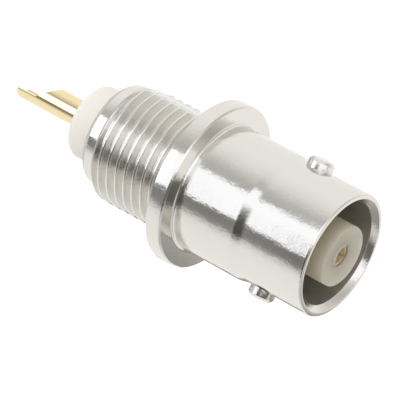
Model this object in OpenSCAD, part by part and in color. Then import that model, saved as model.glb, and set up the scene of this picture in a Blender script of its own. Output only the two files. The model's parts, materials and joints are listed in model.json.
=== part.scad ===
// BNC panel jack, 50 ohm, with a solder cup at the rear.
// The mating axis lies along +X, towards the mouth. The origin is the centre
// of the flange's rear face, which seats on the panel. +Z is the side of the
// flat on the thread, of one bayonet lug and of the open side of the cup.

/* [Barrel] */
// Outside diameter of the barrel that the mating plug slides over
barrel_d = 9.65; // [8:0.05:12]
// Length of the barrel, from the flange's front face to the mouth
barrel_len = 11.45; // [9.5:0.05:14]
// Thickness of the barrel's wall round the mouth
barrel_wall = 0.76; // [0.6:0.01:1.2]
// Depth of the mouth, down to the floor that carries the post
mouth_depth = 8.5; // [7:0.1:9.5]
// Chamfer inside the mouth
lip_chamfer = 0.4; // [0.1:0.05:0.6]
// Rounding outside the mouth
lip_round = 0.2; // [0.05:0.05:0.25]
// How far the thicker heel of the barrel stands out from its front
heel_step = 0.17; // [0.05:0.01:0.5]
// Length of the cone that leads from the heel down to the front
heel_cone_len = 0.7; // [0.3:0.05:1.2]
// Distance from the front end of that cone to the lugs
heel_to_lug = 0.05; // [0.05:0.05:2]

/* [Bayonet lugs] */
// Diameter of a lug
lug_d = 2; // [1.6:0.05:2.4]
// Height of a lug above the barrel
lug_height = 0.675; // [0.4:0.005:0.9]
// Distance from the mouth back to the lugs' axis
lug_setback = 4.5; // [3.6:0.05:5.4]
// Chamfer round the end of a lug
lug_chamfer = 0.22; // [0.05:0.01:0.3]

/* [Flange] */
// Diameter of the flange
flange_d = 12.9; // [12:0.1:16]
// Thickness of the flange
flange_t = 1.4; // [1:0.05:2.5]
// Chamfer on the flange's two edges
flange_chamfer = 0.12; // [0.05:0.01:0.3]
// Fillet where the barrel meets the flange
root_fillet = 0.25; // [0.1:0.05:0.5]

/* [Panel thread] */
// Diameter over the thread's crests, 3/8 inch
thread_d = 9.525; // [7.9:0.005:11.5]
// Length of the thread behind the flange
thread_len = 6.9; // [5:0.1:9]
// Chamfer at the thread's rear end
thread_chamfer = 0.48; // [0.2:0.01:0.6]
// Depth of the flat below the crests
flat_depth = 0.56; // [0.2:0.01:0.7]

/* [Rear collar] */
// How far the collar lies below the flat, so that a nut passes over it
collar_drop = 0.14; // [0.05:0.01:0.3]
// Length of the collar behind the thread
collar_len = 1.3; // [0.9:0.1:2]
// Rounding of the collar's rear edge, where it is rolled over
collar_round = 0.5; // [0.2:0.05:0.7]
// Thickness of the rolled rim that holds the insulator in
rim_t = 0.45; // [0.3:0.05:0.7]
// Wall between the collar's outside and the rear chamber
chamber_wall = 0.7; // [0.5:0.05:0.9]

/* [Insulators] */
// Diameter of the post round the socket contact
post_d = 4.72; // [3.9:0.01:5.7]
// How far the post's face stands out of the mouth
post_proud = 0.15; // [0:0.01:0.3]
// Diameter of the hole in the post's face
entry_d = 1.7; // [1.5:0.05:2]
// Thickness of the post's face in front of the contact
entry_t = 0.35; // [0.2:0.05:0.6]
// Thickness of the post's collar, which seats inside the body
post_collar_t = 1.2; // [0.8:0.1:1.6]
// Distance from the mouth's floor back to the seat of that collar
web_t = 2.75; // [2:0.05:4]
// How far the rolled rim reaches in over the rear insulator
rim_reach = 0.45; // [0.3:0.05:0.6]
// Length of the rear insulator's nose, outside the body
nose_len = 2.4; // [1.5:0.1:4]
// Rounding of the nose's rear edge
nose_round = 0.55; // [0.2:0.05:0.9]

/* [Centre contact] */
// Diameter of the socket
socket_d = 2.1; // [1.95:0.01:2.5]
// Bore of the socket, for a 1.35 mm pin
socket_bore_d = 1.38; // [1.15:0.01:1.6]
// Depth of the socket's bore
socket_bore_len = 5.6; // [4.5:0.1:6.8]
// Length of the slots that split the socket
slot_len = 4.2; // [3:0.1:5]
// Width of each slot
slot_w = 0.18; // [0.1:0.01:0.25]
// Diameter of the shoulder between the insulators
shoulder_d = 3; // [2.7:0.1:3.6]
// Thickness of the shoulder
shoulder_t = 0.8; // [0.5:0.1:1.2]
// Diameter of the solder cup
cup_d = 2.05; // [1.75:0.01:2.4]
// Length of the tail behind the rear insulator
tail_len = 6.4; // [5.5:0.1:8]
// Diameter of the hole in the cup
cup_bore_d = 1.3; // [1:0.05:1.5]
// Depth of that hole
cup_bore_len = 3.5; // [2.5:0.1:4.2]
// Length of the open tongue at the end of the cup
tongue_len = 1.75; // [1:0.05:2.2]
// Length of the slope that leads up from the tongue to the full cup
slope_len = 1.5; // [0.8:0.05:1.8]
// How far the open side is cut below the contact's axis
cup_cut_drop = 0.3; // [0:0.05:0.5]

/* [Fits] */
// Gap all round between a piece and the hole that it sits in
fit_gap = 0.02; // [0.01:0.005:0.05]

/* [Hidden] */
$fn = 96;

barrel_r = barrel_d / 2;
mouth_r = barrel_r - barrel_wall;
heel_r = barrel_r + heel_step;
flange_r = flange_d / 2;
thread_r = thread_d / 2;
flat_z = thread_r - flat_depth;
collar_r = flat_z - collar_drop;
chamber_r = collar_r - chamber_wall;
nose_r = chamber_r - rim_reach;
post_r = post_d / 2;
socket_r = socket_d / 2;
shoulder_r = shoulder_d / 2;
cup_r = cup_d / 2;

// Stations along the axis, from the rear to the mouth
mouth_x = flange_t + barrel_len;
floor_x = mouth_x - mouth_depth;
seat_x = floor_x - web_t;
joint_x = seat_x - post_collar_t;
collar_x = -thread_len - collar_len;
rim_x = collar_x + rim_t;
nose_x = collar_x - nose_len;
tail_x = nose_x - tail_len;
post_x = mouth_x + post_proud;
socket_x = post_x - entry_t;
lug_x = mouth_x - lug_setback;
cone_x = lug_x - lug_d / 2 - heel_to_lug;
heel_x = cone_x - heel_cone_len;

// A little extra for cuts that must break through a face
cut = 1;

// Edges are limited by the faces beside them, of which at least this much is left
least_land = 0.05;
lip_edge = min(lip_chamfer, barrel_wall - lip_round - least_land);
root_edge = min(root_fillet, flange_r - flange_chamfer - heel_r - least_land);
thread_edge = min(thread_chamfer, flat_depth - least_land);

// Points of an arc round [r, x], with its angles in the plane of the profile
function arc(centre, radius, from, to, steps = 6) =
    [for (i = [0:steps])
        let (a = from + (to - from) * i / steps)
        centre + radius * [cos(a), sin(a)]];

// Turns an outline of [radius, station] points round the mating axis
module turned(outline) {
    rotate([0, 90, 0]) rotate_extrude() polygon(outline);
}

// A rod or bore on the mating axis, between two stations
module rod(from_x, to_x, r) {
    translate([from_x, 0, 0]) rotate([0, 90, 0]) cylinder(h = to_x - from_x, r = r);
}

// The outline of the one-piece metal body, up its inside and back down its outside
function shell_outline() = concat(
    [
        // rolled rim and rear chamber
        [nose_r + fit_gap, collar_x],
        [nose_r + fit_gap, rim_x],
        [chamber_r, rim_x],
        [chamber_r, seat_x],
        // web with the bore that carries the post
        [post_r + fit_gap, seat_x],
        [post_r + fit_gap, floor_x],
        // mouth
        [mouth_r, floor_x],
        [mouth_r, mouth_x - lip_edge],
        [mouth_r + lip_edge, mouth_x]
    ],
    arc([barrel_r - lip_round, mouth_x - lip_round], lip_round, 90, 0),
    [
        [barrel_r, cone_x],
        [heel_r, heel_x]
    ],
    arc([heel_r + root_edge, flange_t + root_edge], root_edge, 180, 270),
    [
        [flange_r - flange_chamfer, flange_t],
        [flange_r, flange_t - flange_chamfer],
        [flange_r, flange_chamfer],
        [flange_r - flange_chamfer, 0],
        // thread, at the diameter of its crests
        [thread_r, 0],
        [thread_r, -thread_len + thread_edge],
        [thread_r - thread_edge, -thread_len],
        [collar_r, -thread_len]
    ],
    arc([collar_r - collar_round, collar_x + collar_round], collar_round, 0, -90)
);

module lug() {
    root_h = (barrel_r - mouth_r) / 2;
    top_h = root_h + lug_height;
    translate([lug_x, 0, barrel_r - root_h]) {
        cylinder(h = top_h - lug_chamfer, d = lug_d);
        translate([0, 0, top_h - lug_chamfer])
            cylinder(h = lug_chamfer, r1 = lug_d / 2, r2 = lug_d / 2 - lug_chamfer);
    }
}

module shell() {
    color("silver") difference() {
        union() {
            turned(shell_outline());
            for (turn = [0, 180]) rotate([turn, 0, 0]) lug();
        }
        // flat along the top of the thread, up to the flange
        translate([-thread_len - cut, -thread_r, flat_z])
            cube([thread_len + cut, thread_d, flat_depth + cut]);
    }
}

module front_insulator() {
    color("ivory") difference() {
        union() {
            rod(joint_x, seat_x, chamber_r - fit_gap);
            rod(seat_x, post_x, post_r);
        }
        rod(joint_x - cut, socket_x, socket_r + fit_gap);
        rod(joint_x, post_x + cut, entry_d / 2);
    }
}

module rear_insulator() {
    outline = concat(
        [
            [cup_r + fit_gap, joint_x - shoulder_t],
            [shoulder_r + fit_gap, joint_x - shoulder_t],
            [shoulder_r + fit_gap, joint_x],
            [chamber_r - fit_gap, joint_x],
            [chamber_r - fit_gap, rim_x],
            [nose_r, rim_x]
        ],
        arc([nose_r - nose_round, nose_x + nose_round], nose_round, 0, -90),
        [[cup_r + fit_gap, nose_x]]
    );
    color("whitesmoke") turned(outline);
}

// What is milled away to open the side of the solder cup
module cup_opening() {
    top = cup_r + cut;
    rotate([90, 0, 0]) translate([0, 0, -cup_r - cut])
        linear_extrude(2 * (cup_r + cut))
            polygon([
                [tail_x - cut, -cup_cut_drop],
                [tail_x + tongue_len, -cup_cut_drop],
                [tail_x + tongue_len + slope_len * (top + cup_cut_drop) / (cup_r + cup_cut_drop), top],
                [tail_x - cut, top]
            ]);
}

module center_contact() {
    color("gold") difference() {
        union() {
            rod(tail_x, joint_x - shoulder_t, cup_r);
            rod(joint_x - shoulder_t, joint_x, shoulder_r);
            rod(joint_x, socket_x, socket_r);
        }
        rod(socket_x - socket_bore_len, socket_x + cut, socket_bore_d / 2);
        for (turn = [0, 90]) rotate([turn, 0, 0])
            translate([socket_x - slot_len, -slot_w / 2, -socket_r - cut])
                cube([slot_len + cut, slot_w, 2 * (socket_r + cut)]);
        rod(tail_x - cut, tail_x + cup_bore_len, cup_bore_d / 2);
        cup_opening();
    }
}

shell();
front_insulator();
rear_insulator();
center_contact();
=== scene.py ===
# %% [markdown]
# # A coaxial panel jack
# The jack has four pieces: a nickel-plated body that is turned from one bar, an ivory
# insulator in its mouth, an off-white insulator behind it, and a gold-plated contact
# on the axis. Their plain solids come from the frame. They could be shown as they are,
# but polished metal gives every facet and razor edge away. So each piece is turned
# again here with finely rounded edges, the thread is cut as a true helix, and the
# finishes are made of nodes.

# %% Load the frame
import json
import math

import bmesh
import bpy
from mathutils import Matrix, Vector


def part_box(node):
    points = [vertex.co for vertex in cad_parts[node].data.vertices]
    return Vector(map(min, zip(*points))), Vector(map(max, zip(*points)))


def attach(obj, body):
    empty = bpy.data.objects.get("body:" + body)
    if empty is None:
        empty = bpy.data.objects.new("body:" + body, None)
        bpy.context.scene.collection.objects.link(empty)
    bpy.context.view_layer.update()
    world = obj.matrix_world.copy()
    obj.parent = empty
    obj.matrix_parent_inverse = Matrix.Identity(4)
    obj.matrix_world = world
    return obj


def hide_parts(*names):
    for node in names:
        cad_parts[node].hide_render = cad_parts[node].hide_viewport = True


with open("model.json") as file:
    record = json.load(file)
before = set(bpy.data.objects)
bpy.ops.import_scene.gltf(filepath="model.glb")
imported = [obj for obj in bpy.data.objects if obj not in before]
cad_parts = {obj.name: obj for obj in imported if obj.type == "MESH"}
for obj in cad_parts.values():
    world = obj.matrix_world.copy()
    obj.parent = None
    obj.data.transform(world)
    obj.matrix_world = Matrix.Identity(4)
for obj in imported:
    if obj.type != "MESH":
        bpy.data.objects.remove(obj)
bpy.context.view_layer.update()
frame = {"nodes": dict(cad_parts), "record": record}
print("frame nodes:", sorted(frame["nodes"]))

# %% [markdown]
# Every place is worked out from the frame, so that the finished pieces land where the
# solids are. The boxes give each piece's ends and widest radius, and the mounts give
# the sizes of the thread and the socket. Typing all of them in would work too, but
# the copies could drift apart from the solids. What neither the boxes nor the mounts
# tell is written as a number just before it is used.

# %% Read the sizes from the frame
MM = 0.001
mounts = {mount["name"]: mount["dims"] for mount in frame["record"]["mounts"]}
shell_low, shell_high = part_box("shell")
post_low, post_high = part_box("front_insulator")
nose_low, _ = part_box("rear_insulator")
contact_low, contact_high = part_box("center_contact")

collar_x, mouth_x, flange_r = shell_low.x, shell_high.x, shell_high.y
joint_x, face_x, chamber_r = post_low.x, post_high.x, post_high.y
nose_x = nose_low.x
tail_x, socket_x, shoulder_r = contact_low.x, contact_high.x, contact_high.y
print("from tail to face, mm:", round(tail_x / MM, 2), round(face_x / MM, 2))

# %% [markdown]
# ## The camera
# The camera looks at the mouth from the side through a long lens, which keeps the
# round ends close to true ellipses. Tilting the jack would break the frame, so the
# camera is rolled instead: the jack's axis stays level, and slopes down to the right
# in the view.

# %% Place the camera
azimuth, elevation, roll = map(math.radians, (28.45, 7.57, 24.6))
aim = Vector((0.097, 0.913, -1.475)) * MM
camera_distance, lens_mm, sensor_mm = 250.95 * MM, 309.4, 36
toward_camera = Vector((
    math.sin(azimuth) * math.cos(elevation),
    -math.cos(azimuth) * math.cos(elevation),
    math.sin(elevation),
))

lens = bpy.data.cameras.new("camera")
lens.lens, lens.sensor_width = lens_mm, sensor_mm
lens.clip_start, lens.clip_end = 0.01, 10
camera = bpy.data.objects.new("camera", lens)
bpy.context.scene.collection.objects.link(camera)
upright = (-toward_camera).to_track_quat("-Z", "Y").to_matrix()
camera.matrix_world = (
    Matrix.Translation(aim + toward_camera * camera_distance)
    @ (upright @ Matrix.Rotation(roll, 3, "Z")).to_4x4()
)
bpy.context.scene.camera = camera
bpy.context.scene.view_settings.view_transform = "Standard"
print("camera at, mm:", [round(v / MM, 1) for v in camera.matrix_world.translation])

# %% [markdown]
# ## Helpers for materials
# Each finish is a small tree of nodes. Writing every node and link out would hide the
# idea behind it, so four helpers keep the trees short: one feeds an input, one adds a
# node, one does a sum, and one starts a material.

# %% Add nodes and sums
def feed(tree, slot, value):
    """Sets an input to a plain value, or links another node's output to it."""
    if isinstance(value, bpy.types.NodeSocket):
        tree.links.new(value, slot)
    else:
        slot.default_value = value


def add_node(tree, kind, dimensions=None, **inputs):
    """Adds a node, and feeds its inputs by name."""
    node = tree.nodes.new(kind)
    if dimensions:
        node.noise_dimensions = dimensions
    for name, value in inputs.items():
        feed(tree, node.inputs[name.replace("_", " ")], value)
    return node


def calc(tree, operation, *values):
    """Adds one Math node, and returns its result."""
    node = tree.nodes.new("ShaderNodeMath")
    node.operation = operation
    for slot, value in zip(node.inputs, values):
        feed(tree, slot, value)
    return node.outputs[0]


def start_material(name, shader_kind="ShaderNodeBsdfPrincipled"):
    """Makes a material with one shader, wired to its output."""
    material = bpy.data.materials.new(name)
    material.use_nodes = True
    tree = material.node_tree
    tree.nodes.clear()
    shader = tree.nodes.new(shader_kind)
    output = tree.nodes.new("ShaderNodeOutputMaterial")
    tree.links.new(shader.outputs[0], output.inputs["Surface"])
    return material, tree, shader


print("helpers:", add_node.__name__, calc.__name__, start_material.__name__)

# %% [markdown]
# Grooves and grain are fixed in the real surface, so patterns have to stay on the piece
# and keep their true scale. UV maps could do it, but they need a seam on every turned
# piece. Object coordinates have none, and in millimetres a noise scale of 5 means five
# cells to a millimetre.

# %% Measure places in millimetres
UM = 1e-6


def place_in_mm(tree):
    """Object coordinates in millimetres: the vector, and its three parts."""
    coordinates = tree.nodes.new("ShaderNodeTexCoord")
    scaled = tree.nodes.new("ShaderNodeVectorMath")
    scaled.operation = "SCALE"
    tree.links.new(coordinates.outputs["Object"], scaled.inputs[0])
    scaled.inputs["Scale"].default_value = 1 / MM
    parts = add_node(tree, "ShaderNodeSeparateXYZ", Vector=scaled.outputs[0])
    return scaled.outputs[0], parts.outputs


def radius_in_mm(tree, parts):
    """Distance from the mating axis, in millimetres."""
    squares = [calc(tree, "MULTIPLY", part, part) for part in parts[1:]]
    return calc(tree, "SQRT", calc(tree, "ADD", *squares))


def bump(tree, height, depth_um, under=None):
    """Turns a 0 to 1 pattern into relief of a depth in micrometres, over another."""
    inputs = {"Height": height, "Distance": depth_um * UM, "Strength": 1.0}
    if under:
        inputs["Normal"] = under
    return add_node(tree, "ShaderNodeBump", **inputs).outputs[0]


def spread(tree, pattern, low, high):
    """Turns a 0 to 1 pattern into a value from low to high."""
    return add_node(
        tree, "ShaderNodeMapRange", Value=pattern, To_Min=low, To_Max=high
    ).outputs["Result"]


print("a full turn of the flange is", round(math.tau * flange_r / MM, 1), "mm long")

# %% [markdown]
# ## Plated metal
# Nickel and gold plating follow the turned surface beneath, so three kinds of relief
# lie under the shine. Lathe grooves run round the axis: a one-dimensional noise along
# the profile, which is the station plus the radius, draws them on cylinders and on
# faces alike. A fine orange peel frays the edges of reflections, and a slow wave bends
# them. An image of scratches would do as well, but this has no seams and no limit in
# detail.

# %% Make a plated metal
GROOVES_PER_MM, PEEL_PER_MM, WAVES_PER_MM, FILM_PER_MM = 14.0, 6.0, 0.9, 0.6
FILM_DARKEST, FILM_SPREAD = 0.97, 0.3


def noise(tree, place, per_mm, detail):
    """A 0 to 1 pattern with this many cells to a millimetre."""
    node = add_node(tree, "ShaderNodeTexNoise", Vector=place, Scale=per_mm, Detail=detail)
    return node.outputs["Fac"]


def mottled(tree, pattern, colour, darkest):
    """The colour, and only this share of it where the pattern is lowest."""
    dark = [part * darkest for part in colour]
    return add_node(
        tree, "ShaderNodeMixRGB", Fac=pattern, Color1=(*dark, 1), Color2=(*colour, 1)
    ).outputs[0]


def plated_metal(name, colour, roughness, relief_um, matt_zones=()):
    """relief_um: the depths of grooves, peel and wave."""
    material, tree, shader = start_material(name)
    place, parts = place_in_mm(tree)
    radius = radius_in_mm(tree, parts)
    along = calc(tree, "ADD", parts[0], radius)
    grooves = add_node(
        tree, "ShaderNodeTexNoise", "1D", W=along, Scale=GROOVES_PER_MM, Detail=3.0
    ).outputs["Fac"]
    peel = noise(tree, place, PEEL_PER_MM, 4.0)
    wave = noise(tree, place, WAVES_PER_MM, 2.0)
    film = noise(tree, place, FILM_PER_MM, 5.0)

    relief = None
    for pattern, depth_um in zip((wave, peel, grooves), reversed(relief_um)):
        relief = bump(tree, pattern, depth_um, relief)
    tree.links.new(relief, shader.inputs["Normal"])
    tree.links.new(mottled(tree, film, colour, FILM_DARKEST), shader.inputs["Base Color"])
    least, most = roughness * (1 - FILM_SPREAD), roughness * (1 + FILM_SPREAD)
    rough, shine = spread(tree, film, least, most), 1.0
    for zone in matt_zones:
        rough, shine = dull_inside(tree, parts[0], radius, zone, rough, shine)
    feed(tree, shader.inputs["Roughness"], rough)
    feed(tree, shader.inputs["Metallic"], shine)
    print(name, "nodes:", len(tree.nodes))
    return material

# %% [markdown]
# Where a tool can't polish, as inside the mouth or between the thread's crests, the
# plating stays matt and its film scatters light. A second material could be painted
# there, but it would end in a hard line of faces. So the finish itself asks where it
# is: each matt zone is a ring-shaped space round the axis.

# %% Keep a plated metal matt in some places
def matt_zone(from_x, to_x, below_r, rougher, scatter=0.0):
    """A space between two stations and below a radius. There the roughness grows by
    `rougher`, and the film scatters this share of the light."""
    return from_x / MM, to_x / MM, below_r / MM, rougher, scatter


def dull_inside(tree, station, radius, zone, rough, shine):
    """Changes the roughness and the metal's share inside one matt zone."""
    from_x, to_x, below_r, rougher, scatter = zone
    inside = calc(
        tree, "MULTIPLY", calc(tree, "LESS_THAN", radius, below_r),
        calc(tree, "MULTIPLY", calc(tree, "GREATER_THAN", station, from_x),
             calc(tree, "LESS_THAN", station, to_x)),
    )
    rough = calc(tree, "ADD", rough, calc(tree, "MULTIPLY", inside, rougher))
    shine = calc(tree, "SUBTRACT", shine, calc(tree, "MULTIPLY", inside, scatter))
    return rough, shine


print("a matt zone holds", len(matt_zone(0, 0, 0, 0)), "values")

# %% [markdown]
# ## Moulded plastic
# Light enters both insulators and comes out again some way off, which is why the post
# looks soft and has no hard shadow side. Subsurface scattering does just that; a plain
# diffuse colour would look like paint. A faint mottle in the colour and a fine grain
# in the surface keep the large plain faces alive.

# %% Make a moulded plastic
MOTTLE_PER_MM, MOTTLE_DARKEST = 0.7, 0.95
GRAIN_PER_MM, GRAIN_UM, GRAIN_SPREAD = 9.0, 0.6, 0.06
# Red light travels furthest in these plastics, and blue light least
REACH_OF_RGB = (1.0, 0.94, 0.84)


def moulded_plastic(name, colour, roughness, glow, glow_mm):
    """glow: the share of light that enters, and glow_mm: how far it travels."""
    material, tree, shader = start_material(name)
    place, _ = place_in_mm(tree)
    mottle = noise(tree, place, MOTTLE_PER_MM, 4.0)
    grain = noise(tree, place, GRAIN_PER_MM, 3.0)
    shade = mottled(tree, mottle, colour, MOTTLE_DARKEST)
    tree.links.new(shade, shader.inputs["Base Color"])
    tree.links.new(bump(tree, grain, GRAIN_UM), shader.inputs["Normal"])
    rough = spread(tree, grain, roughness - GRAIN_SPREAD, roughness + GRAIN_SPREAD)
    tree.links.new(rough, shader.inputs["Roughness"])
    shader.inputs["Specular IOR Level"].default_value = 0.35
    shader.inputs["Subsurface Weight"].default_value = glow
    shader.inputs["Subsurface Scale"].default_value = 1.0
    shader.inputs["Subsurface Radius"].default_value = [
        glow_mm * MM * reach for reach in REACH_OF_RGB
    ]
    print(name, "nodes:", len(tree.nodes))
    return material

# %% [markdown]
# ## Turning an outline
# All four pieces come off a lathe or out of a round mould, so each is one outline
# turned round the axis. Real corners are never perfectly sharp, and their tiny rounds
# are what catches the light. A Bevel modifier could round them, but it has to guess
# its widths where cuts meet, so the rounding is part of the outline: each corner is
# given as (station, radius, rounding) and becomes an arc.

# %% Round the corners of an outline
ARC_STEP = math.radians(18)
# A rounding may use up this share of the shorter side at its corner
MOST_OF_A_SIDE = 0.45


def soften(corners, closed=True):
    """Replaces each corner (x, r, rounding) by an arc of that radius."""
    points = []
    count = len(corners)
    for i, (x, r, rounding) in enumerate(corners):
        here = Vector((x, r))
        if rounding == 0 or (not closed and i in (0, count - 1)):
            points.append(here)
            continue
        to_last = Vector(corners[i - 1][:2]) - here
        to_next = Vector(corners[(i + 1) % count][:2]) - here
        room = min(to_last.length, to_next.length) * MOST_OF_A_SIDE
        half = to_last.angle(to_next) / 2
        back = min(rounding / math.tan(half), room)
        radius = back * math.tan(half)
        inward = (to_last.normalized() + to_next.normalized()).normalized()
        middle = here + inward * (radius / math.sin(half))
        start = here + to_last.normalized() * back - middle
        end = here + to_next.normalized() * back - middle
        sweep = start.angle_signed(end)
        steps = max(2, math.ceil(abs(sweep) / ARC_STEP))
        for k in range(steps + 1):
            points.append(middle + Matrix.Rotation(-sweep * k / steps, 2) @ start)
    return points


corner = soften([(0, 0, 0), (1, 0, 0.2), (1, 1, 0)], closed=False)
print("one corner becomes", len(corner) - 2, "points")

# %% [markdown]
# A lathe sweeps its outline round the axis. The Spin operator or a Screw modifier would
# do that too, but they leave a seam, and a ring of tiny faces where an outline ends on
# the axis. Here the last column joins the first one, and a radius of 0 becomes one
# single point, so a turned piece is closed from the start.

# %% Turn it round the axis
def link_mesh(name, made):
    """Makes an object of a bmesh, with its normals outward."""
    bmesh.ops.recalc_face_normals(made, faces=made.faces)
    mesh = bpy.data.meshes.new(name)
    made.to_mesh(mesh)
    made.free()
    thing = bpy.data.objects.new(name, mesh)
    bpy.context.scene.collection.objects.link(thing)
    return thing


def turn_outline(name, points, columns, closed=True):
    """Turns [station, radius] points round the X axis. A radius of 0 makes a pole."""
    made = bmesh.new()
    rings = []
    for station, radius in points:
        steps = columns if radius > 0 else 1
        angles = [math.tau * column / columns for column in range(steps)]
        rings.append([
            made.verts.new((station, radius * math.cos(a), radius * math.sin(a)))
            for a in angles
        ])
    pairs = list(zip(rings, rings[1:])) + ([(rings[-1], rings[0])] if closed else [])
    for ring, following in pairs:
        if len(ring) == len(following) == 1:
            continue
        for column in range(columns):
            after = (column + 1) % columns
            made.faces.new(dict.fromkeys([
                ring[column % len(ring)], ring[after % len(ring)],
                following[after % len(following)], following[column % len(following)],
            ]))
    return link_mesh(name, made)


print("poles and rings are both handled by", turn_outline.__name__)

# %% [markdown]
# Lugs, bores and slits can't come off a lathe, so modifiers do the cutting and joining.
# Building them face by face would work, but every change would have to be worked out
# again. Once a piece is right, its evaluated shape is kept as a plain mesh and the
# modifiers go. An exact boolean only works on closed pieces, and it drops faces in
# silence when a piece is open. So the open edges are counted after each one.

# %% Keep a modified shape, and join or cut pieces
# Points closer than this are one point. It lies far below the finest real edge
SAME_POINT = 5e-8


def keep_shape(thing):
    """Makes the evaluated shape the object's own mesh, and removes its modifiers."""
    graph = bpy.context.evaluated_depsgraph_get()
    made = bpy.data.meshes.new_from_object(thing.evaluated_get(graph))
    thing.modifiers.clear()
    thing.data = made


def open_edges(thing):
    """Counts the edges that don't lie between exactly two faces."""
    made = bmesh.new()
    made.from_mesh(thing.data)
    count = sum(1 for edge in made.edges if not edge.is_manifold)
    made.free()
    return count


def cut_or_join(thing, tool, operation):
    """An exact boolean with a tool object, which is then thrown away."""
    modifier = thing.modifiers.new(operation.lower(), "BOOLEAN")
    modifier.operation = operation
    modifier.solver = "EXACT"
    modifier.object = tool
    keep_shape(thing)
    made = bmesh.new()
    made.from_mesh(thing.data)
    bmesh.ops.remove_doubles(made, verts=made.verts, dist=SAME_POINT)
    bmesh.ops.dissolve_degenerate(made, edges=made.edges, dist=SAME_POINT)
    made.to_mesh(thing.data)
    made.free()
    print(operation.lower(), tool.name, "leaves open edges:", open_edges(thing))
    bpy.data.objects.remove(tool)

# %% [markdown]
# Turned metal is smooth along its curves and crisp at its edges. Smooth shading alone
# would bend the light across every corner, and flat shading would show the facets. So
# sharp edges are marked by their angle, and weighted normals keep a long wall straight
# right up to its rounded edge.

# %% Finish a piece
def finish_piece(thing, material, node, sharp_degrees=35):
    """Smooths and paints a closed piece, and puts it in place of its solid."""
    if open_edges(thing):
        raise ValueError(f"{thing.name} isn't closed")
    thing.data.materials.clear()
    thing.data.materials.append(material)
    thing.data.polygons.foreach_set("material_index", [0] * len(thing.data.polygons))
    thing.data.shade_smooth()
    thing.data.set_sharp_from_angle(angle=math.radians(sharp_degrees))
    weighted = thing.modifiers.new("weighted", "WEIGHTED_NORMAL")
    weighted.weight = 100
    weighted.keep_sharp = True
    keep_shape(thing)
    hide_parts(node)
    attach(thing, "root")
    thing.data.calc_loop_triangles()
    print(thing.name, "triangles:", len(thing.data.loop_triangles))

# %% [markdown]
# ## The body
# The body is brass, turned from one bar and nickel plated. Its parts from the mouth
# to the rear are the barrel that the plug slides over, a heel that is a little
# thicker, the flange that seats on the panel, the thread for the nut, and a collar
# that is rolled in over the rear insulator. They could be stacked as separate rings,
# but then a seam would show at every step. One outline keeps them one piece.

# %% Name the body's sizes
barrel_r, barrel_wall, mouth_depth = 4.825 * MM, 0.76 * MM, 8.5 * MM
heel_step, cone_length, heel_to_lug = 0.17 * MM, 0.7 * MM, 0.05 * MM
lug_r, lug_height, lug_setback = 1.0 * MM, 0.675 * MM, 4.5 * MM
flange_t, flange_edge = 1.4 * MM, 0.12 * MM
thread_r, thread_length = mounts["panel_thread"]["r_mm"] * MM, 6.9 * MM
collar_r, rim_t, web_t = 4.0625 * MM, 0.45 * MM, 2.75 * MM
post_r, nose_r, fit_gap = 2.36 * MM, 2.9125 * MM, 0.02 * MM

mouth_r, heel_r = barrel_r - barrel_wall, barrel_r + heel_step
floor_x = mouth_x - mouth_depth
seat_x = floor_x - web_t
lug_x = mouth_x - lug_setback
cone_x = lug_x - lug_r - heel_to_lug
print("lugs stand at x, mm:", round(lug_x / MM, 2))

# %% [markdown]
# Bright nickel is a warm, slightly grey metal that shines evenly outside. Inside the
# mouth it is duller, and so are the flanks between the thread's crests. One roughness
# everywhere would make mirrors of these too, so both places are matt zones, which end
# where the polished edges begin.

# %% Plate the body
crest_land, seat_land = 0.06 * MM, 0.02 * MM
nickel = plated_metal(
    "nickel_plate", (0.79, 0.765, 0.71), roughness=0.11, relief_um=(0.6, 9.0, 25.0),
    matt_zones=(
        matt_zone(flange_t, mouth_x, mouth_r + fit_gap, rougher=0.25, scatter=0.12),
        matt_zone(-thread_length, -seat_land, thread_r - crest_land, rougher=0.11),
    ),
)

# %% [markdown]
# The blank is everything but the thread. Its outline starts on the panel face beside
# the thread, goes round the flange, the barrel, the mouth and the inside, and ends on
# the collar at the thread's rear end. The corners between the heel, its cone and the
# barrel are almost flat, so a turning tool leaves them with large soft rounds.

# %% Turn the blank
BODY_COLUMNS = 360
seat_ring_r = thread_r + 0.09 * MM
lip_chamfer, lip_round, rim_round = 0.4 * MM, 0.2 * MM, 0.5 * MM
root_fillet, heel_round, cone_round = 0.25 * MM, 1.0 * MM, 2.0 * MM
fine, small = 0.03 * MM, 0.06 * MM
body = turn_outline("body", soften([
    (0, seat_ring_r, 0),
    (0, flange_r - flange_edge, fine),
    (flange_edge, flange_r, fine),
    (flange_t - flange_edge, flange_r, fine),
    (flange_t, flange_r - flange_edge, fine),
    (flange_t, heel_r, root_fillet),
    (cone_x - cone_length, heel_r, heel_round),
    (cone_x, barrel_r, cone_round),
    (mouth_x, barrel_r, lip_round),
    (mouth_x, mouth_r + lip_chamfer, fine),
    (mouth_x - lip_chamfer, mouth_r, fine),
    (floor_x, mouth_r, small),
    (floor_x, post_r + fit_gap, fine),
    (seat_x, post_r + fit_gap, fine),
    (seat_x, chamber_r + fit_gap, fine),
    (collar_x + rim_t, chamber_r + fit_gap, fine),
    (collar_x + rim_t, nose_r + fit_gap, fine),
    (collar_x, nose_r + fit_gap, fine),
    (collar_x, collar_r, rim_round),
    (-thread_length, collar_r, 0),
], closed=False), BODY_COLUMNS, closed=False)
print("blank rings:", len(body.data.vertices) // BODY_COLUMNS)

# %% [markdown]
# ## The thread
# The panel thread has 32 turns to the inch, a chamfer at its rear end, and one flat
# that keeps the jack from turning in a D-shaped hole. A Screw modifier could sweep
# it, but its ends and the flat would then have to be cut and capped. A thread follows
# a rule, so Geometry Nodes write that rule down instead. A grid is wrapped round the
# axis with its rows slanted along the helix, and each point finds its own radius.

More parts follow.
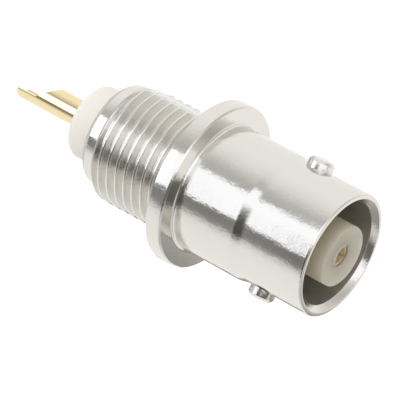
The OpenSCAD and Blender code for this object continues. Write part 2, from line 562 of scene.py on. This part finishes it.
# %% Start the tree and name its inputs
def start_thread_tree():
    """An empty tree with its named inputs and its output."""
    tree = bpy.data.node_groups.new("cut_panel_thread", "GeometryNodeTree")
    inputs = {"NodeSocketGeometry": ["Geometry"], "NodeSocketMaterial": ["Material"]}
    inputs["NodeSocketInt"] = ["Turns", "Columns"]
    inputs["NodeSocketFloat"] = [
        "Pitch", "Crest radius", "Depth", "Length", "Chamfer", "Flat height",
        "Seat ring", "Collar ring",
    ]
    for kind, names in inputs.items():
        for name in names:
            tree.interface.new_socket(name, in_out="INPUT", socket_type=kind)
    tree.interface.new_socket("Geometry", in_out="OUTPUT", socket_type="NodeSocketGeometry")
    return tree, tree.nodes.new("NodeGroupInput").outputs, tree.nodes.new("NodeGroupOutput")


thread_pitch = 25.4 / 32 * MM
print("turns on the thread:", round(thread_length / thread_pitch, 1))

# %% [markdown]
# Equal steps between the rows would waste points on the straight flanks and miss the
# small rounds, so the rows crowd there. A row's station is its number of whole turns
# plus its place within the turn, times the pitch, and it moves forward by one pitch
# while the row goes once round. Rows that would start before the seat or run past the
# rear end are held there.

# %% Place the rows along the helix
# Where the rows lie within one turn: the crest is at 0 and the root at 0.5
ROW_PLACES = (
    -0.165, -0.135, -0.105, -0.08, -0.055, 0.055, 0.08, 0.105, 0.135, 0.165,
    0.425, 0.455, 0.545, 0.575,
)


def place_rows(tree, given, row, share):
    """The station of a point from its row and its share of a full turn."""
    count = len(ROW_PLACES)
    thread_row = calc(tree, "SUBTRACT", row, 1)
    places = tree.nodes.new("GeometryNodeIndexSwitch")
    places.data_type = "FLOAT"
    while len(places.index_switch_items) < count:
        places.index_switch_items.new()
    tree.links.new(calc(tree, "FLOORED_MODULO", thread_row, count), places.inputs["Index"])
    for slot, value in zip(places.inputs[1:], ROW_PLACES):
        slot.default_value = value
    whole = calc(tree, "FLOOR", calc(tree, "DIVIDE", thread_row, count))
    turns_back = calc(tree, "ADD", whole, places.outputs[0])
    free = calc(tree, "MULTIPLY", calc(tree, "SUBTRACT", share, turns_back), given["Pitch"])
    rear = calc(tree, "MULTIPLY", given["Length"], -1.0)
    return calc(tree, "MINIMUM", calc(tree, "MAXIMUM", free, rear), 0.0)


print("rows to one turn:", len(ROW_PLACES))

# %% [markdown]
# Within one turn, the distance from the crest gives the height of the thread: full on
# the crest, then a straight flank, then the root, with small rounds between. The cone
# of the end chamfer and the flat are upper limits on the same radius. Two booleans
# could cut them, but this needs none.

# %% Give each point its radius
# Shares of the pitch: where the flank would reach the root, and how long it is
FLANK_END, FLANK_LENGTH = 0.45, 0.345
# Shares of the depth over which crest and root are rounded
CREST_ROUND, ROOT_ROUND = 0.3, 0.08
# Keeps the flat's limit finite on the lower half, where it doesn't reach
LEAST_SINE = 0.01


def thread_radius(tree, given, station, share, angle):
    """The radius of a point on the thread, under the end chamfer and the flat."""
    phase = calc(tree, "SUBTRACT", share, calc(tree, "DIVIDE", station, given["Pitch"]))
    from_crest = calc(tree, "PINGPONG", phase, 0.5)
    to_root = calc(tree, "SUBTRACT", FLANK_END, from_crest)
    height = calc(tree, "DIVIDE", to_root, FLANK_LENGTH)
    height = calc(tree, "SMOOTH_MIN", height, 1.0, CREST_ROUND)
    height = calc(tree, "SMOOTH_MAX", height, 0.0, ROOT_ROUND)
    root_r = calc(tree, "SUBTRACT", given["Crest radius"], given["Depth"])
    radius = calc(tree, "MULTIPLY_ADD", given["Depth"], height, root_r)
    foot_r = calc(tree, "SUBTRACT", given["Crest radius"], given["Chamfer"])
    from_rear = calc(tree, "ADD", station, given["Length"])
    radius = calc(tree, "MINIMUM", radius, calc(tree, "ADD", foot_r, from_rear))
    upward = calc(tree, "MAXIMUM", calc(tree, "SINE", angle), LEAST_SINE)
    return calc(tree, "MINIMUM", radius, calc(tree, "DIVIDE", given["Flat height"], upward))


print("crest radius, mm:", round(thread_r / MM, 4))

# %% [markdown]
# The first and last rows aren't on the thread. They lie exactly on the blank's two
# open rings. Bridging thread and blank by hand would need the right edges picked, but
# rows in the right places only have to be merged where points coincide.

# %% Put the first and last rows on the blank's rings
def mix(tree, factor, low, high):
    """The first value where the factor is 0, and the second where it is 1."""
    return add_node(tree, "ShaderNodeMix", Factor=factor, A=low, B=high).outputs["Result"]


def tie_ends(tree, given, row, last_row, station, radius):
    """Moves the first row to the seat's ring and the last row to the collar's."""
    is_first = calc(tree, "LESS_THAN", row, 0.5)
    is_last = calc(tree, "GREATER_THAN", row, calc(tree, "SUBTRACT", last_row, 0.5))
    radius = mix(tree, is_first, radius, given["Seat ring"])
    radius = mix(tree, is_last, radius, given["Collar ring"])
    rear = calc(tree, "MULTIPLY", given["Length"], -1.0)
    station = mix(tree, is_last, mix(tree, is_first, station, 0.0), rear)
    return station, radius


print("rings at radius, mm:", round(seat_ring_r / MM, 3), round(collar_r / MM, 3))

# %% [markdown]
# Now the parts of the tree come together. The grid's own square says which row and
# which share of a turn a point belongs to, and Set Position carries it to its place.
# Realize Instances and Set Material come last, so that the result is plain and painted.

# %% Wrap the grid, and join it to the blank
# A thousandth of the finest rounding, so only true doubles merge
SAME_RING_POINT = 3e-8


def thread_tree():
    """The whole tree, from a blank with two open rings to a closed body."""
    tree, given, result = start_thread_tree()
    thread_rows = calc(tree, "MULTIPLY", given["Turns"], len(ROW_PLACES))
    grid = add_node(
        tree, "GeometryNodeMeshGrid", Size_X=1.0, Size_Y=1.0,
        Vertices_X=calc(tree, "ADD", thread_rows, 2),
        Vertices_Y=calc(tree, "ADD", given["Columns"], 1),
    )
    position = tree.nodes.new("GeometryNodeInputPosition").outputs[0]
    spot = add_node(tree, "ShaderNodeSeparateXYZ", Vector=position).outputs
    last_row = calc(tree, "ADD", thread_rows, 1)
    across = calc(tree, "ADD", spot[0], 0.5)
    row = calc(tree, "ROUND", calc(tree, "MULTIPLY", across, last_row))
    share = calc(tree, "ADD", spot[1], 0.5)
    angle = calc(tree, "MULTIPLY", share, math.tau)
    station = place_rows(tree, given, row, share)
    radius = thread_radius(tree, given, station, share, angle)
    station, radius = tie_ends(tree, given, row, last_row, station, radius)
    wrapped = add_node(
        tree, "ShaderNodeCombineXYZ", X=station,
        Y=calc(tree, "MULTIPLY", radius, calc(tree, "COSINE", angle)),
        Z=calc(tree, "MULTIPLY", radius, calc(tree, "SINE", angle)),
    )
    band = add_node(
        tree, "GeometryNodeSetPosition", Geometry=grid.outputs["Mesh"],
        Position=wrapped.outputs[0],
    )
    joined = tree.nodes.new("GeometryNodeJoinGeometry")
    for piece in (band.outputs[0], given["Geometry"]):
        tree.links.new(piece, joined.inputs[0])
    merged = add_node(
        tree, "GeometryNodeMergeByDistance", Geometry=joined.outputs[0],
        Distance=SAME_RING_POINT,
    )
    realized = add_node(tree, "GeometryNodeRealizeInstances", Geometry=merged.outputs[0])
    painted = add_node(
        tree, "GeometryNodeSetMaterial", Geometry=realized.outputs[0],
        Material=given["Material"],
    )
    tree.links.new(painted.outputs[0], result.inputs[0])
    print("thread tree nodes:", len(tree.nodes))
    return tree

# %% [markdown]
# The tree is a recipe, and the modifier fills in this thread's own sizes, so the same
# tree could cut another thread. Two turns are added to those that the length holds,
# because slanted rows have to reach past both ends.

# %% Cut the thread on the blank
def give_inputs(modifier, values):
    """Sets a Geometry Nodes modifier's inputs by their sockets' identifiers."""
    for item in modifier.node_group.interface.items_tree:
        if item.item_type == "SOCKET" and item.in_out == "INPUT" and item.name in values:
            modifier[item.identifier] = values[item.name]


thread_depth, thread_chamfer, flat_depth = 0.6 * thread_pitch, 0.48 * MM, 0.56 * MM
cutter = body.modifiers.new("panel_thread", "NODES")
cutter.node_group = thread_tree()
give_inputs(cutter, {
    "Pitch": thread_pitch,
    "Crest radius": thread_r,
    "Depth": thread_depth,
    "Length": thread_length,
    "Chamfer": thread_chamfer,
    "Flat height": thread_r - flat_depth,
    "Seat ring": seat_ring_r,
    "Collar ring": collar_r,
    "Turns": math.ceil(thread_length / thread_pitch) + 2,
    "Columns": BODY_COLUMNS,
    "Material": nickel,
})
keep_shape(body)
print("threaded body faces:", len(body.data.polygons), "open edges:", open_edges(body))

# %% [markdown]
# ## The lugs
# Two short round studs on opposite sides of the barrel catch the plug's bayonet
# slots. They could stay separate pieces pushed into the wall, but on the real body
# they are the same metal. So each is turned, stood on end, and joined to the body.

# %% Join the lugs
LUG_COLUMNS = 96
lug_chamfer = 0.22 * MM


def lug(name, quarter_turns):
    """A stud that is turned along the axis and then stood on end."""
    root, top = (barrel_r + mouth_r) / 2, barrel_r + lug_height
    stud = turn_outline(name, soften([
        (root, 0, 0),
        (root, lug_r, 0),
        (top - lug_chamfer, lug_r, small),
        (top, lug_r - lug_chamfer, small),
        (top, 0, 0),
    ]), LUG_COLUMNS)
    stand = Matrix.Rotation(math.radians(90 * quarter_turns), 4, "Y")
    stud.data.transform(Matrix.Translation((lug_x, 0, 0)) @ stand)
    return stud


cut_or_join(body, lug("lug_top", -1), "UNION")
cut_or_join(body, lug("lug_bottom", 1), "UNION")
finish_piece(body, nickel, "shell")

# %% [markdown]
# ## The insulators
# The front one is an ivory post with a hole for the plug's pin, and a collar inside
# the body that keeps it from being pulled out. It could be two rods joined and bored,
# but its hidden steps are as round as the end that shows, so one outline holds all.

# %% Turn the front insulator
PLASTIC_COLUMNS = 160
socket_r, entry_r, post_edge = 1.05 * MM, 0.85 * MM, 0.12 * MM
ivory = moulded_plastic(
    "front_plastic", (0.62, 0.54, 0.41), roughness=0.5, glow=1.0, glow_mm=6.0
)
post = turn_outline("front_post", soften([
    (joint_x, socket_r + fit_gap, 0),
    (socket_x, socket_r + fit_gap, 0),
    (socket_x, entry_r, 0),
    (face_x, entry_r, post_edge),
    (face_x, post_r, post_edge),
    (seat_x, post_r, fine),
    (seat_x, chamber_r, fine),
    (joint_x, chamber_r, fine),
]), PLASTIC_COLUMNS)
finish_piece(post, ivory, "front_insulator")

# %% [markdown]
# The rear insulator is whiter, and less light wanders through it. It fills the chamber
# behind the post and ends in a rounded nose outside. A plain plug of plastic would look
# the same from outside, but the outline also has the step under the rolled rim and the
# pocket for the contact's shoulder, so that the pieces still fit when they come apart.

# %% Turn the rear insulator
cup_r, shoulder_t, nose_round = 1.025 * MM, 0.8 * MM, 0.55 * MM
off_white = moulded_plastic(
    "rear_plastic", (0.84, 0.81, 0.75), roughness=0.42, glow=0.6, glow_mm=1.2
)
nose = turn_outline("rear_nose", soften([
    (joint_x - shoulder_t, cup_r + fit_gap, 0),
    (joint_x - shoulder_t, shoulder_r + fit_gap, 0),
    (joint_x, shoulder_r + fit_gap, 0),
    (joint_x, chamber_r, fine),
    (collar_x + rim_t, chamber_r, fine),
    (collar_x + rim_t, nose_r, fine),
    (nose_x, nose_r, nose_round),
    (nose_x, cup_r + fit_gap, small),
]), PLASTIC_COLUMNS)
finish_piece(nose, off_white, "rear_insulator")

# %% [markdown]
# ## The contact
# The contact is one gold-plated rod, held by a shoulder between the two insulators.
# Its slits and its open side aren't round, so an outline can't hold them. It is made
# as in a workshop: turned, drilled at both ends, milled open along one side behind for
# the solder, and slit into four fingers in front. No tool can polish the inside of the
# fingers, so they are a matt zone.

# %% Turn the rod
ROD_COLUMNS = 128
EXTRA = 1.0 * MM
socket_bore_r = mounts["contact_socket"]["r_mm"] * MM
socket_bore_length = mounts["contact_socket"]["length_mm"] * MM
gold = plated_metal(
    "gold_plate", (0.94, 0.78, 0.48), roughness=0.12, relief_um=(0.5, 2.0, 4.0),
    matt_zones=(matt_zone(
        socket_x - socket_bore_length, socket_x + fit_gap, socket_r,
        rougher=0.3, scatter=0.8,
    ),),
)
contact = turn_outline("contact", soften([
    (tail_x, 0, 0),
    (tail_x, cup_r, fine),
    (joint_x - shoulder_t, cup_r, 0),
    (joint_x - shoulder_t, shoulder_r, fine),
    (joint_x, shoulder_r, fine),
    (joint_x, socket_r, 0),
    (socket_x, socket_r, fine),
    (socket_x, 0, 0),
]), ROD_COLUMNS)
print("rod length, mm:", round((socket_x - tail_x) / MM, 2))

# %% [markdown]
# The bore in front takes the plug's pin, and the one behind takes the wire. Both could
# be steps in the rod's outline, but a drill is simpler to follow: each is a turned rod
# that is taken away, and it starts a little outside, so that it cuts the end cleanly.

# %% Drill it from both ends
cup_bore_length, cup_bore_r = 3.5 * MM, 0.65 * MM
drills = {
    "cup_drill": (tail_x - EXTRA, tail_x + cup_bore_length, cup_bore_r),
    "socket_drill": (socket_x - socket_bore_length, socket_x + EXTRA, socket_bore_r),
}
for name, (start, end, radius) in drills.items():
    outline = [(start, 0, 0), (end, 0, 0), (end, radius, 0), (start, radius, 0)]
    cut_or_join(contact, turn_outline(name, soften(outline), ROD_COLUMNS), "DIFFERENCE")

# %% [markdown]
# The cup's open side lets the wire and the solder in. Its side view is a long tongue,
# a slope and the full rod behind it. Pushing points down would tear the bore's wall,
# so one block with that side view is taken away, as a milling cutter would.

# %% Mill the cup open
def block(name, outline, half_width):
    """A prism on an outline of (x, z) points, as wide on both sides of it."""
    made = bmesh.new()
    sides = [
        [made.verts.new((x, y, z)) for x, z in outline]
        for y in (-half_width, half_width)
    ]
    for side in sides:
        made.faces.new(side)
    for i in range(len(outline)):
        j = (i + 1) % len(outline)
        made.faces.new((sides[0][i], sides[0][j], sides[1][j], sides[1][i]))
    return link_mesh(name, made)


cut_drop, tongue_length, slope_length = 0.3 * MM, 1.75 * MM, 1.5 * MM
tongue_end, above = tail_x + tongue_length, cup_r + EXTRA
run = slope_length * (above + cut_drop) / (cup_r + cut_drop)
cut_or_join(contact, block("cup_mill", [
    (tail_x - EXTRA, -cut_drop),
    (tongue_end, -cut_drop),
    (tongue_end + run, above),
    (tail_x - EXTRA, above),
], cup_r + EXTRA), "DIFFERENCE")

# %% [markdown]
# Two crossed slits leave four fingers, which spring round the pin. Four separate
# fingers could be copied round the axis, but the bore and the end would then have
# seams. A saw blade is a thin block, and a quarter turn gives the second cut.

# %% Slit the fingers
slit_length, slit_width = 4.2 * MM, 0.18 * MM
slit_x, end_x, reach = socket_x - slit_length, socket_x + EXTRA, socket_r + EXTRA
for turn in (0, 90):
    saw = block(f"saw_{turn}", [
        (slit_x, -reach), (end_x, -reach), (end_x, reach), (slit_x, reach),
    ], slit_width / 2)
    saw.data.transform(Matrix.Rotation(math.radians(turn), 4, "X"))
    cut_or_join(contact, saw, "DIFFERENCE")
finish_piece(contact, gold, "center_contact", sharp_degrees=28)

# %% [markdown]
# ## The light tent
# Polished metal shows its surroundings more than its own colour, so lighting it means
# building what it reflects. A few bare lamps would leave it black with hard glints.
# Instead the jack stands in a tent that is pale all round. A bright window faces it
# beside the camera, a dark strip lies under the window and makes the metal look like
# metal, and a grey fade lies over it. The tent is a round drum on the jack's own axis.
# Its brightness is written down as (angle round the axis from -Y towards +Z, level),
# once for each stretch of the drum, and it turns from one into the next.

# %% Write down the tent's brightness
# White is 1. The drum's far end behind the jack has one plain level
WINDOW, TAIL_WINDOW, FAR = 1.24, 2.1, 0.72
BEHIND = (
    (-180, 1.0), (-88, 1.0), (-66, 0.97), (-58, 0.92), (-51, 0.72), (-46, 0.42), (-43, 0.28),
    (-24, 0.24), (-21, WINDOW), (25, WINDOW), (28, 0.53), (36, 0.53), (45, 0.62),
    (55, 0.77), (65, 0.88), (75, 0.95), (88, 1.0), (180, 1.0),
)
BESIDE = (
    (-180, 1.0), (-88, 1.0), (-66, 0.95), (-56, 0.85), (-50, 0.55), (-44, 0.14), (-40, 0.08),
    (-16, 0.12), (-6, 0.3), (2, 0.7), (9, WINDOW), (34, WINDOW), (39, 0.6),
    (46, 0.58), (57, 0.78), (70, 0.92), (88, 1.0), (180, 1.0),
)
AHEAD = (
    (-180, 1.03), (-130, 0.9), (-102, 0.55), (-90, 0.72), (-74, 0.75), (-64, 0.35),
    (-56, 0.14), (-16, 0.2), (-8, 0.9), (-2, WINDOW), (46, WINDOW), (56, 0.85),
    (72, 0.72), (93, 0.56), (115, 0.66), (150, 0.9), (180, 1.03),
)
# The gold tail lies furthest back and needs more light to shine white
TAIL = tuple((angle, TAIL_WINDOW if level == WINDOW else level) for angle, level in BEHIND)
print("stops:", len(BEHIND), len(BESIDE), len(AHEAD))

# %% [markdown]
# A colour ramp holds the brightness round one stretch, and the place along the axis
# mixes one ramp into the next. An image could carry the same pattern, but ramps keep
# every level open to change. Levels above white are slightly blue, because warm nickel
# should still shine a neutral white there.

# %% Make the tent's cloth
PLAIN, COOL = (1.0, 1.0, 1.0), (1.0, 1.03, 1.11)
COOL_ABOVE = 1.1
# From where to where each stretch takes over from the one behind it, in metres
TAIL_STARTS, BEHIND_STARTS = (-0.34, -0.26), (-0.186, -0.181)
BESIDE_STARTS, AHEAD_STARTS = (-0.11, -0.03), (0.04, 0.14)


def ramp(tree, share, levels):
    """Brightness round the tent, as a share of the brightest window's."""
    node = tree.nodes.new("ShaderNodeValToRGB")
    stops = node.color_ramp.elements
    while len(stops) < len(levels):
        stops.new(0.5)
    for stop, (angle, level) in zip(stops, levels):
        tint = COOL if level > COOL_ABOVE else PLAIN
        stop.position = angle / 360 + 0.5
        stop.color = (*[level * part / TAIL_WINDOW for part in tint], 1)
    tree.links.new(share, node.inputs[0])
    return node.outputs[0]


def tent_cloth():
    """Light that depends on the angle round the axis and the place along it."""
    material, tree, glow = start_material("tent_cloth", "ShaderNodeEmission")
    place = tree.nodes.new("ShaderNodeTexCoord").outputs["Object"]
    x, y, z = add_node(tree, "ShaderNodeSeparateXYZ", Vector=place).outputs
    around = calc(tree, "ARCTAN2", z, calc(tree, "MULTIPLY", y, -1.0))
    share = calc(tree, "ADD", calc(tree, "DIVIDE", around, math.tau), 0.5)
    colour = ramp(tree, share, ((-180, FAR), (180, FAR)))
    stretches = (
        (TAIL, TAIL_STARTS), (BEHIND, BEHIND_STARTS), (BESIDE, BESIDE_STARTS),
        (AHEAD, AHEAD_STARTS),
    )
    for levels, (start, end) in stretches:
        step = add_node(tree, "ShaderNodeMapRange", Value=x, From_Min=start, From_Max=end)
        step.interpolation_type = "SMOOTHSTEP"
        colour = add_node(
            tree, "ShaderNodeMixRGB", Fac=step.outputs["Result"], Color1=colour,
            Color2=ramp(tree, share, levels),
        ).outputs[0]
    tree.links.new(colour, glow.inputs["Color"])
    glow.inputs["Strength"].default_value = TAIL_WINDOW
    print("tent cloth nodes:", len(tree.nodes))
    return material

# %% [markdown]
# A closed tent would hide the jack from the camera and keep the lamps out, so only
# reflections see it. The world could carry its pattern from far away, but then a
# straight barrel would mirror nearly the same strip from end to end. A near drum gives
# each station a reflection of its own.

# %% Put the tent up
TENT_COLUMNS = 96


def for_reflections_only(thing, material):
    """A part of the studio that only polished surfaces see."""
    thing.data.materials.append(material)
    thing.visible_camera = False
    thing.visible_diffuse = False
    thing.visible_shadow = False
    thing.visible_transmission = False


tent_r, tent_half = 0.30, 0.40
tent = turn_outline("light_tent", [
    (-tent_half, 0), (-tent_half, tent_r), (tent_half, tent_r), (tent_half, 0),
], TENT_COLUMNS)
for_reflections_only(tent, tent_cloth())
print("tent, mm across and long:", 2 * tent_r / MM, 2 * tent_half / MM)

# %% [markdown]
# A tent alone is too even: one flat face would reflect one level. The jack's own shade
# lies behind and below it, and the flange's face looks down into it at the bottom and
# over it at the top. A small card there, dark near the jack and light further off,
# makes that face go from light to dark.

# %% Lay the shade card
def flat_sheet(name, low, high, z):
    """One level rectangle between two (x, y) corners."""
    made = bmesh.new()
    made.faces.new([
        made.verts.new((x, y, z))
        for x, y in (low, (high[0], low[1]), high, (low[0], high[1]))
    ])
    return link_mesh(name, made)


CARD_NEAR, CARD_FAR, CARD_Z = (-10 * MM, 4 * MM), (80 * MM, 90 * MM), -8.5 * MM
FADE_FROM, FADE_TO, DARKEST = 8 * MM, 55 * MM, 0.36
card_material, card_tree, card_glow = start_material("shade_card", "ShaderNodeEmission")
card_place = card_tree.nodes.new("ShaderNodeTexCoord").outputs["Object"]
card_y = add_node(card_tree, "ShaderNodeSeparateXYZ", Vector=card_place).outputs[1]
card_level = add_node(
    card_tree, "ShaderNodeMapRange", Value=card_y, From_Min=FADE_FROM, From_Max=FADE_TO,
    To_Min=DARKEST, To_Max=1.0,
).outputs["Result"]
card_tree.links.new(card_level, card_glow.inputs["Strength"])
card_glow.inputs["Color"].default_value = (1, 0.98, 0.94, 1)
card = flat_sheet("shade_card", CARD_NEAR, CARD_FAR, CARD_Z)
for_reflections_only(card, card_material)
print("shade card, mm:", [round(v / MM) for v in card.dimensions])

# %% [markdown]
# ## Lamps and background
# The plastics don't mirror the tent, so two soft lamps and a pale world light them at
# a plain level. One strong lamp would do, but its shadow would be hard. The lamps are
# hidden from reflections, where the tent already stands.

# %% Light the plastics
def soft_lamp(name, direction, distance, size, watts):
    """A round lamp that shines on the origin from a direction."""
    data = bpy.data.lights.new(name, "AREA")
    data.shape, data.size, data.energy = "DISK", size, watts
    lamp = bpy.data.objects.new(name, data)
    bpy.context.scene.collection.objects.link(lamp)
    direction = Vector(direction).normalized()
    lamp.location = direction * distance
    lamp.rotation_euler = (-direction).to_track_quat("-Z", "Y").to_euler()
    lamp.visible_glossy = False


soft_lamp("key_lamp", (-0.45, -0.80, 0.40), distance=0.45, size=0.22, watts=0.75)
soft_lamp("top_lamp", (0.15, 0.10, 1.0), distance=0.50, size=0.30, watts=0.45)

# %% [markdown]
# The background is white, and white walls all round would drown the plastics in light.
# So the world is white only where the camera, a mirror or glass sees it, and dimmer as
# a light.

# %% Paint the background
AMBIENT = 0.62
world = bpy.data.worlds.new("studio")
bpy.context.scene.world = world
world.use_nodes = True
world_tree = world.node_tree
world_tree.nodes.clear()
path = world_tree.nodes.new("ShaderNodeLightPath").outputs
mirrored = calc(world_tree, "MAXIMUM", path["Is Glossy Ray"], path["Is Transmission Ray"])
seen = calc(world_tree, "MAXIMUM", path["Is Camera Ray"], mirrored)
background = add_node(
    world_tree, "ShaderNodeBackground", Color=(1, 1, 1, 1),
    Strength=spread(world_tree, seen, AMBIENT, 1.0),
)
world_output = world_tree.nodes.new("ShaderNodeOutputWorld")
world_tree.links.new(background.outputs[0], world_output.inputs["Surface"])
print("world nodes:", len(world_tree.nodes))

# %% [markdown]
# The floor is plain and pale, and lies some way under the jack. A floor that is only
# lit would end in a grey line against the white. So a part of its brightness towards
# the camera is its own, and the rest is lit and keeps the jack's soft shadow.

# %% Lay the floor
FLOOR_Z, FLOOR_HALF, OWN_LIGHT = -30 * MM, 3.0, 0.46
floor_material, floor_tree, shown = start_material("pale_floor", "ShaderNodeMixShader")
lit = add_node(floor_tree, "ShaderNodeBsdfDiffuse", Color=(0.9, 0.9, 0.9, 1)).outputs[0]
own = add_node(floor_tree, "ShaderNodeEmission", Strength=OWN_LIGHT).outputs[0]
both = floor_tree.nodes.new("ShaderNodeAddShader")
for shader_output, slot in ((lit, both.inputs[0]), (own, both.inputs[1])):
    floor_tree.links.new(shader_output, slot)
is_camera = floor_tree.nodes.new("ShaderNodeLightPath").outputs["Is Camera Ray"]
floor_tree.links.new(is_camera, shown.inputs[0])
floor_tree.links.new(lit, shown.inputs[1])
floor_tree.links.new(both.outputs[0], shown.inputs[2])

near, far = (-FLOOR_HALF, -FLOOR_HALF), (FLOOR_HALF, FLOOR_HALF)
floor = flat_sheet("floor", near, far, FLOOR_Z)
floor.data.materials.append(floor_material)
floor.visible_glossy = False
print("floor at z, mm:", round(FLOOR_Z / MM))

# %% [markdown]
# ## The end
# Looks never change a size. Last, the scene is brought up to date.

# %% Finish
bpy.context.view_layer.update()
